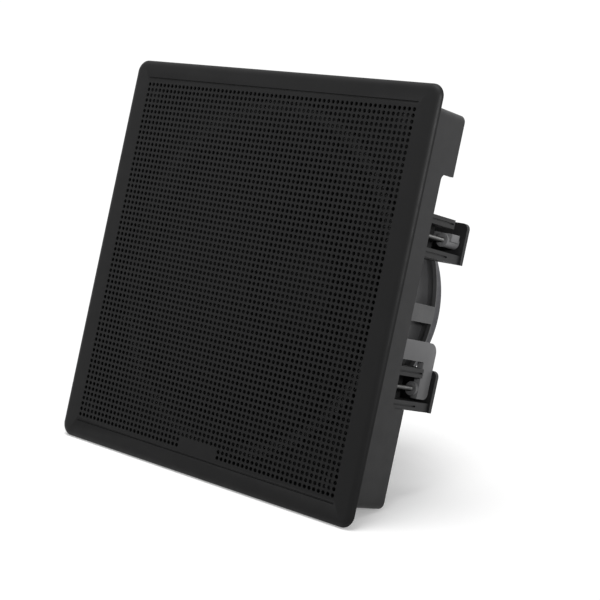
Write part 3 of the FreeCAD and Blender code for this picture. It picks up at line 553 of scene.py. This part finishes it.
class SUBWOOFER_OT_grille(bpy.types.Operator):
    """Make the perforated grille with its border and pressed lines"""

    bl_idname = "subwoofer.grille"
    bl_label = "Grille"

    def execute(self, context):
        settings = context.scene.subwoofer_grille
        colours = context.scene.subwoofer_finish
        front = GRILLE_LOW.y
        field = perforated_field(settings, front)
        modify(field, "SOLIDIFY", thickness=settings.sheet, offset=-1)
        border = face_border(settings, front)
        modify(border, "SOLIDIFY", thickness=settings.sheet, offset=-1)
        press_lines(border, settings, front)
        smooth(border)
        grille = join(field, [border])
        grille.name = "grille_face"
        grille.data.materials.append(powder_coat("grille_powder_coat", colours.grille))
        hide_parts("grille")
        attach(grille, "grille")
        return {"FINISHED"}


# Driver


def spun(piece):
    """Turns a profile round the driver's axis into a closed skin."""
    edit(piece)
    bpy.ops.mesh.select_all(action="SELECT")
    bpy.ops.mesh.spin(steps=SPIN_STEPS, angle=math.radians(360), center=(0, 0, 0), axis=(0, 1, 0))
    merge_and_face_out()
    leave_edit()


def follow_cone(piece, fixed_radius, moving_radius):
    """The piece is held at one radius and goes with the cone at the other, with an eased change between."""
    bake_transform(piece, "housing", "cone", start=(fixed_radius, 0, 0), end=(moving_radius, 0, 0))
    weights = piece.data.attributes["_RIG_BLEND"]
    for vertex, weight in zip(piece.data.vertices, weights.data):
        radius = math.hypot(vertex.co.x, vertex.co.z)
        share = (fixed_radius - radius) / (fixed_radius - moving_radius)
        share = min(max(share, 0), 1)
        weight.value = share * share * (3 - 2 * share)


class SUBWOOFER_OT_surround(bpy.types.Operator):
    """Make the rubber half roll between the basket and the cone"""

    bl_idname = "subwoofer.surround"
    bl_label = "Surround"

    def execute(self, context):
        settings = context.scene.subwoofer_driver
        colours = context.scene.subwoofer_finish
        foot = settings.roll_foot
        outer = SURROUND_HIGH.x - foot
        seat = SURROUND_HIGH.y - settings.roll_sheet / 2
        crest = SURROUND_LOW.y + settings.roll_sheet / 2
        radius = seat - crest
        middle = outer - radius
        deselect()
        bpy.ops.mesh.primitive_circle_add(vertices=ROLL_POINTS, radius=radius, location=(middle, seat, 0))
        roll = name_new("surround_roll")
        settle(roll)
        edit(roll)
        pick("VERT", lambda v: v.co.y > seat + ZERO)
        bpy.ops.mesh.delete(type="VERT")
        for end, way in ((middle + radius, foot), (middle - radius, -foot)):
            pick("VERT", lambda v: abs(v.co.x - end) < MERGE and abs(v.co.y - seat) < MERGE)
            bpy.ops.mesh.extrude_vertices_move(TRANSFORM_OT_translate={"value": (way, 0, 0)})
        leave_edit()
        spun(roll)
        modify(roll, "SOLIDIFY", thickness=settings.roll_sheet, offset=0)
        smooth(roll, ROLL_SHARP_ANGLE)
        roll.data.materials.append(moulded_rubber("surround_rubber", colours.rubber))
        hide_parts("surround")
        follow_cone(roll, middle + radius, middle - radius)
        return {"FINISHED"}


class SUBWOOFER_OT_spider(bpy.types.Operator):
    """Make the pleated cloth spider"""

    bl_idname = "subwoofer.spider"
    bl_label = "Spider"

    def execute(self, context):
        settings = context.scene.subwoofer_driver
        colours = context.scene.subwoofer_finish
        inner = FORMER_HIGH.x + settings.spider_gap
        outer = SPIDER_HIGH.x
        rim = outer - settings.spider_rim
        rise = (SPIDER_HIGH.y - SPIDER_LOW.y - settings.spider_sheet) / 2
        middle = (SPIDER_HIGH.y + SPIDER_LOW.y) / 2
        deselect()
        bpy.ops.mesh.primitive_grid_add(
            x_subdivisions=PLEAT_POINTS * settings.spider_waves,
            y_subdivisions=1,
            size=1,
            location=((inner + outer) / 2, middle, 0),
        )
        spider = name_new("spider_pleats")
        spider.scale = (outer - inner, 1, 1)
        settle(spider)
        edit(spider)
        pick("VERT", lambda v: v.co.y > middle)
        bpy.ops.mesh.delete(type="VERT")
        leave_edit()
        turns = math.radians(360) * settings.spider_waves
        for vertex in spider.data.vertices:
            along = (vertex.co.x - inner) / (rim - inner)
            fade = min(1, PLEAT_FADE * max(0, 1 - along), PLEAT_FADE * max(0, along))
            vertex.co.y = middle + rise * fade * math.sin(turns * along)
        spun(spider)
        modify(spider, "SOLIDIFY", thickness=settings.spider_sheet, offset=0)
        smooth(spider, PLEAT_SHARP_ANGLE)
        spider.data.materials.append(pressed_cloth("spider_cloth_weave", colours.cloth))
        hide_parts("spider")
        follow_cone(spider, rim, inner)
        return {"FINISHED"}


class SUBWOOFER_OT_clamps(bpy.types.Operator):
    """Make the moulded clamp dogs with their softened edges"""

    bl_idname = "subwoofer.clamps"
    bl_label = "Clamp dogs"

    def execute(self, context):
        settings = context.scene.subwoofer_driver
        colours = context.scene.subwoofer_finish
        plastic = moulded_plastic("dog_moulding", colours.dog, roughness=0.42)
        for clamp in CLAMPS:
            dog = copy_of_node(f"clamp_dog_{clamp}", f"moulded_dog_{clamp}")
            modify(
                dog,
                "BEVEL",
                width=settings.edge_bevel,
                segments=BEVEL_STEPS,
                limit_method="ANGLE",
                angle_limit=math.radians(BEVEL_ANGLE),
            )
            smooth(dog)
            dog.data.materials.clear()
            dog.data.materials.append(plastic)
            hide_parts(f"clamp_dog_{clamp}")
            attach(dog, f"clamp_{clamp}")
        return {"FINISHED"}


def thread_ridge(name, settings, outer, length):
    """A thread's ridge, wound along the Y axis from the origin."""
    half = settings.thread_height
    deselect()
    bpy.ops.mesh.primitive_circle_add(vertices=4, radius=half, location=(outer - half, 0, 0))
    ridge = name_new(name)
    settle(ridge)
    modify(
        ridge,
        "SCREW",
        axis="Y",
        angle=math.radians(360),
        screw_offset=settings.thread_pitch,
        iterations=int(length / settings.thread_pitch),
        steps=THREAD_STEPS,
        render_steps=THREAD_STEPS,
    )
    edit(ridge)
    bpy.ops.mesh.select_all(action="SELECT")
    bpy.ops.mesh.fill_holes(sides=4)
    merge_and_face_out()
    leave_edit()
    return ridge


class SUBWOOFER_OT_screws(bpy.types.Operator):
    """Make the clamp screws with their threads"""

    bl_idname = "subwoofer.screws"
    bl_label = "Clamp screws"

    def execute(self, context):
        settings = context.scene.subwoofer_driver
        colours = context.scene.subwoofer_finish
        steel = turned_steel("screw_steel_plated", colours.steel)
        outer = settings.screw_radius
        core = (outer - settings.thread_height) / outer
        for clamp in CLAMPS:
            low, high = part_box(f"clamp_screw_{clamp}")
            middle = (low + high) / 2
            neck = low.y + settings.screw_head

            def on_shank(vertex):
                radius = math.hypot(vertex.co.x - middle.x, vertex.co.z - middle.z)
                return vertex.co.y > neck - SHANK_SLACK and abs(radius - outer) < SHANK_SLACK

            screw = copy_of_node(f"clamp_screw_{clamp}", f"threaded_screw_{clamp}")
            edit(screw)
            pick("VERT", on_shank)
            bpy.ops.transform.resize(value=(core, 1, core), center_override=(middle.x, 0, middle.z))
            leave_edit()
            start = neck - settings.thread_pitch
            length = high.y - settings.screw_tip - settings.thread_pitch - start
            ridge = thread_ridge(f"ridge_{clamp}", settings, outer, length)
            ridge.location = (middle.x, start, middle.z)
            settle(ridge)
            join(screw, [ridge])
            smooth(screw)
            screw.data.materials.clear()
            screw.data.materials.append(steel)
            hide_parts(f"clamp_screw_{clamp}")
            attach(screw, f"clamp_{clamp}")
        return {"FINISHED"}


# Finishes


def new_finish(name):
    """A material with a shader, and Object coordinates for its patterns."""
    finish = bpy.data.materials.new(name)
    finish.use_nodes = True
    nodes = finish.node_tree.nodes
    shader = nodes["Principled BSDF"]
    place = nodes.new("ShaderNodeTexCoord")
    return finish, shader, place.outputs["Object"]


def noise(finish, place, scale, detail=3.0, roughness=0.55):
    node = finish.node_tree.nodes.new("ShaderNodeTexNoise")
    node.inputs["Scale"].default_value = scale
    node.inputs["Detail"].default_value = detail
    node.inputs["Roughness"].default_value = roughness
    finish.node_tree.links.new(place, node.inputs["Vector"])
    return node.outputs["Fac"]


def ramp(finish, factor, low, high, start=0.3, end=0.7):
    """Carries a pattern between two grey levels or two colours."""
    node = finish.node_tree.nodes.new("ShaderNodeValToRGB")
    first, last = node.color_ramp.elements
    first.position = start
    last.position = end
    first.color = (*low, 1)
    last.color = (*high, 1)
    finish.node_tree.links.new(factor, node.inputs["Fac"])
    return node.outputs["Color"]


def grey(level):
    return (level, level, level)


def shade(colour, share):
    return tuple(min(1, channel * share) for channel in colour)


def bump(finish, shader, height, strength, distance):
    node = finish.node_tree.nodes.new("ShaderNodeBump")
    node.inputs["Strength"].default_value = strength
    node.inputs["Distance"].default_value = distance
    finish.node_tree.links.new(height, node.inputs["Height"])
    finish.node_tree.links.new(node.outputs["Normal"], shader.inputs["Normal"])


def varied(finish, shader, place, colour, spread, scale, roughness, rough_spread):
    """Faint changes of colour and gloss over the surface."""
    links = finish.node_tree.links
    blotch = noise(finish, place, scale)
    dark = shade(colour, 1 - spread)
    light = shade(colour, 1 + spread)
    links.new(ramp(finish, blotch, dark, light), shader.inputs["Base Color"])
    wear = noise(finish, place, scale * WEAR_FINENESS, detail=4.0)
    glossy = grey(roughness - rough_spread)
    dull = grey(roughness + rough_spread)
    links.new(ramp(finish, wear, glossy, dull), shader.inputs["Roughness"])


def powder_coat(name, colour):
    """A fine powder coat on sheet metal."""
    finish, shader, place = new_finish(name)
    varied(finish, shader, place, colour, spread=0.12, scale=45, roughness=0.5, rough_spread=0.05)
    shader.inputs["Specular IOR Level"].default_value = 0.145
    grain = noise(finish, place, scale=2600, detail=2.0)
    bump(finish, shader, grain, strength=0.25, distance=0.0001)
    return finish


def moulded_plastic(name, colour, roughness):
    """Spark-eroded moulded plastic."""
    finish, shader, place = new_finish(name)
    varied(finish, shader, place, colour, spread=0.1, scale=38, roughness=roughness, rough_spread=0.06)
    shader.inputs["Specular IOR Level"].default_value = 0.275
    grain = noise(finish, place, scale=1500, detail=3.0)
    bump(finish, shader, grain, strength=0.3, distance=0.00012)
    return finish


def two_sided_plastic(name, front, back):
    """Moulded plastic with a dark coat on the side that faces forward."""
    finish = moulded_plastic(name, front, roughness=0.5)
    tree = finish.node_tree
    shader = tree.nodes["Principled BSDF"]
    place = next(node for node in tree.nodes if node.type == "TEX_COORD")
    parts = tree.nodes.new("ShaderNodeSeparateXYZ")
    tree.links.new(place.outputs["Normal"], parts.inputs[0])
    sides = ramp(finish, parts.outputs["Y"], front, back, start=0.02, end=0.1)
    tree.links.new(sides, shader.inputs["Base Color"])
    return finish


def moulded_rubber(name, colour):
    finish, shader, place = new_finish(name)
    varied(finish, shader, place, colour, spread=0.2, scale=60, roughness=0.6, rough_spread=0.08)
    shader.inputs["Specular IOR Level"].default_value = 0.25
    grain = noise(finish, place, scale=900, detail=2.0)
    bump(finish, shader, grain, strength=0.15, distance=0.0001)
    return finish


def coated_casting(name, colour):
    """A die casting under a satin coat."""
    finish, shader, place = new_finish(name)
    varied(finish, shader, place, colour, spread=0.15, scale=30, roughness=0.42, rough_spread=0.08)
    grain = noise(finish, place, scale=420, detail=5.0, roughness=0.65)
    bump(finish, shader, grain, strength=0.22, distance=0.0003)
    return finish


def pressed_cloth(name, colour):
    """A stiffened weave, with threads both ways."""
    finish, shader, place = new_finish(name)
    varied(finish, shader, place, colour, spread=0.25, scale=90, roughness=0.85, rough_spread=0.05)
    weave = finish.node_tree.nodes.new("ShaderNodeTexChecker")
    weave.inputs["Scale"].default_value = 1400
    finish.node_tree.links.new(place, weave.inputs["Vector"])
    bump(finish, shader, weave.outputs["Fac"], strength=0.4, distance=0.0002)
    return finish


def turned_steel(name, colour):
    """Plated steel from the lathe."""
    finish, shader, place = new_finish(name)
    varied(finish, shader, place, colour, spread=0.12, scale=300, roughness=0.5, rough_spread=0.08)
    shader.inputs["Metallic"].default_value = 1.0
    grain = noise(finish, place, scale=1800, detail=2.0)
    bump(finish, shader, grain, strength=0.1, distance=0.0001)
    return finish


def coated_steel(name, colour):
    finish, shader, place = new_finish(name)
    varied(finish, shader, place, colour, spread=0.2, scale=55, roughness=0.38, rough_spread=0.07)
    grain = noise(finish, place, scale=700, detail=3.0)
    bump(finish, shader, grain, strength=0.12, distance=0.0002)
    return finish


def sealed_ferrite(name, colour):
    """Ground ferrite with its fine pits."""
    finish, shader, place = new_finish(name)
    varied(finish, shader, place, colour, spread=0.3, scale=140, roughness=0.62, rough_spread=0.1)
    grain = noise(finish, place, scale=520, detail=6.0, roughness=0.7)
    bump(finish, shader, grain, strength=0.35, distance=0.0003)
    return finish


def bare_metal(name, colour, roughness):
    finish, shader, place = new_finish(name)
    varied(finish, shader, place, colour, spread=0.1, scale=200, roughness=roughness, rough_spread=0.07)
    shader.inputs["Metallic"].default_value = 1.0
    grain = noise(finish, place, scale=1500, detail=2.0)
    bump(finish, shader, grain, strength=0.08, distance=0.0001)
    return finish


class SUBWOOFER_OT_finishes(bpy.types.Operator):
    """Give every remaining node its finish"""

    bl_idname = "subwoofer.finishes"
    bl_label = "Finishes"

    def execute(self, context):
        colours = context.scene.subwoofer_finish
        rubber = moulded_rubber("seal_rubber_skin", colours.rubber)
        cone = two_sided_plastic("cone_moulding", colours.cone, colours.cone_back)
        motor = coated_steel("motor_coat", colours.motor)
        steel = turned_steel("clip_steel", colours.steel)
        tinned = bare_metal("tinned_tab", colours.tab, roughness=0.35)
        finishes = {
            "housing": moulded_plastic("housing_moulding", colours.housing, roughness=0.45),
            "flange_seal": rubber,
            "driver_gasket": rubber,
            "grille_magnets": coated_steel("magnet_epoxy", colours.motor),
            "basket": coated_casting("basket_casting", colours.basket),
            "driver_screws": coated_steel("black_oxide", colours.motor),
            "cone": cone,
            "dust_cap": cone,
            "coil_former": bare_metal("former_foil_sheet", colours.foil, roughness=0.45),
            "voice_coil": bare_metal("enamelled_wire", colours.wire, roughness=0.35),
            "top_plate": motor,
            "magnet": sealed_ferrite("magnet_ferrite", colours.ferrite),
            "yoke": motor,
            "terminal_board": moulded_plastic("board_moulding", colours.board, roughness=0.5),
            "terminal_positive": tinned,
            "terminal_negative": tinned,
        }
        for clamp in CLAMPS:
            finishes[f"clamp_clip_{clamp}"] = steel
        for node, finish in finishes.items():
            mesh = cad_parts[node].data
            mesh.materials.clear()
            mesh.materials.append(finish)
        return {"FINISHED"}


# Stage


def white_to_camera(tree):
    """1 for rays that see a surface directly, in gloss or through glass, and 0 for scattered ones."""
    path = tree.nodes.new("ShaderNodeLightPath")
    total = None
    for ray in ("Is Camera Ray", "Is Glossy Ray", "Is Transmission Ray"):
        if total is None:
            total = path.outputs[ray]
            continue
        either = tree.nodes.new("ShaderNodeMath")
        either.operation = "MAXIMUM"
        tree.links.new(total, either.inputs[0])
        tree.links.new(path.outputs[ray], either.inputs[1])
        total = either.outputs[0]
    return total


def room_light(settings):
    world = bpy.data.worlds.new("studio")
    bpy.context.scene.world = world
    world.use_nodes = True
    tree = world.node_tree
    tree.nodes.clear()
    soft = tree.nodes.new("ShaderNodeBackground")
    soft.inputs["Strength"].default_value = settings.sky
    white = tree.nodes.new("ShaderNodeBackground")
    white.inputs["Strength"].default_value = settings.backdrop
    for background in (soft, white):
        background.inputs["Color"].default_value = (1, 1, 1, 1)
    chosen = tree.nodes.new("ShaderNodeMixShader")
    output = tree.nodes.new("ShaderNodeOutputWorld")
    tree.links.new(white_to_camera(tree), chosen.inputs["Fac"])
    tree.links.new(soft.outputs[0], chosen.inputs[1])
    tree.links.new(white.outputs[0], chosen.inputs[2])
    tree.links.new(chosen.outputs[0], output.inputs["Surface"])


def pale_floor(settings):
    """White paper that fades out into the backdrop, keeps the shadow and throws little light back."""
    paper = bpy.data.materials.new("studio_paper")
    paper.use_nodes = True
    tree = paper.node_tree
    tree.nodes.clear()
    bright = tree.nodes.new("ShaderNodeBsdfDiffuse")
    bright.inputs["Color"].default_value = (*grey(settings.floor_white), 1)
    lift = tree.nodes.new("ShaderNodeEmission")
    lift.inputs["Color"].default_value = (1, 1, 1, 1)
    lift.inputs["Strength"].default_value = settings.floor_lift
    white = tree.nodes.new("ShaderNodeAddShader")
    tree.links.new(bright.outputs[0], white.inputs[0])
    tree.links.new(lift.outputs[0], white.inputs[1])
    dim = tree.nodes.new("ShaderNodeBsdfDiffuse")
    dim.inputs["Color"].default_value = (*grey(settings.floor_bounce), 1)
    seen = tree.nodes.new("ShaderNodeMixShader")
    tree.links.new(white_to_camera(tree), seen.inputs["Fac"])
    tree.links.new(dim.outputs[0], seen.inputs[1])
    tree.links.new(white.outputs[0], seen.inputs[2])
    place = tree.nodes.new("ShaderNodeTexCoord")
    distance = tree.nodes.new("ShaderNodeVectorMath")
    distance.operation = "LENGTH"
    tree.links.new(place.outputs["Object"], distance.inputs[0])
    fade = tree.nodes.new("ShaderNodeMapRange")
    fade.inputs["From Min"].default_value = settings.fade_start
    fade.inputs["From Max"].default_value = settings.fade_end
    tree.links.new(distance.outputs["Value"], fade.inputs["Value"])
    clear = tree.nodes.new("ShaderNodeBsdfTransparent")
    blend = tree.nodes.new("ShaderNodeMixShader")
    output = tree.nodes.new("ShaderNodeOutputMaterial")
    tree.links.new(fade.outputs["Result"], blend.inputs["Fac"])
    tree.links.new(seen.outputs[0], blend.inputs[1])
    tree.links.new(clear.outputs[0], blend.inputs[2])
    tree.links.new(blend.outputs[0], output.inputs["Surface"])
    return paper


def soft_lamp(name, place, aim, size, power, spread):
    """A square-cornered area light that points at its aim."""
    deselect()
    bpy.ops.object.light_add(type="AREA", location=place)
    lamp = bpy.context.object
    lamp.name = name
    lamp.data.shape = "RECTANGLE"
    lamp.data.size, lamp.data.size_y = size
    lamp.data.energy = power
    lamp.data.spread = spread
    lamp.rotation_euler = (Vector(aim) - Vector(place)).to_track_quat("-Z", "Y").to_euler()


class SUBWOOFER_OT_stage(bpy.types.Operator):
    """Set the floor, the lights and the camera"""

    bl_idname = "subwoofer.stage"
    bl_label = "Stage"

    def execute(self, context):
        settings = context.scene.subwoofer_stage
        rim_depth = GRILLE_HIGH.y
        rim_drop = GRILLE_LOW.z
        lean = math.atan2(-LEAN_EDGE_DROP - rim_drop, LEAN_EDGE_DEPTH - rim_depth)
        deselect()
        bpy.ops.mesh.primitive_plane_add(
            size=settings.floor_size, location=(0, rim_depth, rim_drop - FLOOR_GAP), rotation=(lean, 0, 0)
        )
        floor = name_new("studio_floor")
        floor.data.materials.append(pale_floor(settings))
        room_light(settings)
        soft_lamp(
            "key_light",
            settings.key_place,
            settings.key_aim,
            settings.key_size,
            settings.key_power,
            settings.key_spread,
        )
        soft_lamp(
            "side_light",
            settings.side_place,
            settings.side_aim,
            settings.side_size,
            settings.side_power,
            settings.side_spread,
        )
        deselect()
        bpy.ops.object.camera_add(location=settings.camera_place, rotation=Euler(settings.camera_turn))
        camera = bpy.context.object
        camera.name = "photo_camera"
        camera.data.lens = settings.lens
        camera.data.sensor_width = SENSOR_WIDTH
        context.scene.camera = camera
        context.scene.view_settings.view_transform = "Standard"
        return {"FINISHED"}


class SUBWOOFER_PT_panel(bpy.types.Panel):
    """Steps that dress the subwoofer"""

    bl_label = "Subwoofer"
    bl_idname = "SUBWOOFER_PT_panel"
    bl_space_type = "VIEW_3D"
    bl_region_type = "UI"
    bl_category = "Subwoofer"

    def draw(self, context):
        for step in STEPS:
            self.layout.operator(step.bl_idname)


STEPS = (
    SUBWOOFER_OT_grille,
    SUBWOOFER_OT_surround,
    SUBWOOFER_OT_spider,
    SUBWOOFER_OT_clamps,
    SUBWOOFER_OT_screws,
    SUBWOOFER_OT_finishes,
    SUBWOOFER_OT_stage,
)
SETTINGS = {
    "subwoofer_grille": GrilleSettings,
    "subwoofer_driver": DriverSettings,
    "subwoofer_finish": FinishSettings,
    "subwoofer_stage": StageSettings,
}


def register():
    for group in SETTINGS.values():
        bpy.utils.register_class(group)
    for name, group in SETTINGS.items():
        setattr(bpy.types.Scene, name, PointerProperty(type=group))
    for step in STEPS:
        bpy.utils.register_class(step)
    bpy.utils.register_class(SUBWOOFER_PT_panel)


def unregister():
    bpy.utils.unregister_class(SUBWOOFER_PT_panel)
    for step in reversed(STEPS):
        bpy.utils.unregister_class(step)
    for name, group in SETTINGS.items():
        delattr(bpy.types.Scene, name)
        bpy.utils.unregister_class(group)


def main():
    register()
    bpy.ops.subwoofer.grille()
    bpy.ops.subwoofer.surround()
    bpy.ops.subwoofer.spider()
    bpy.ops.subwoofer.clamps()
    bpy.ops.subwoofer.screws()
    bpy.ops.subwoofer.finishes()
    bpy.ops.subwoofer.stage()


if __name__ == "__main__":
    main()
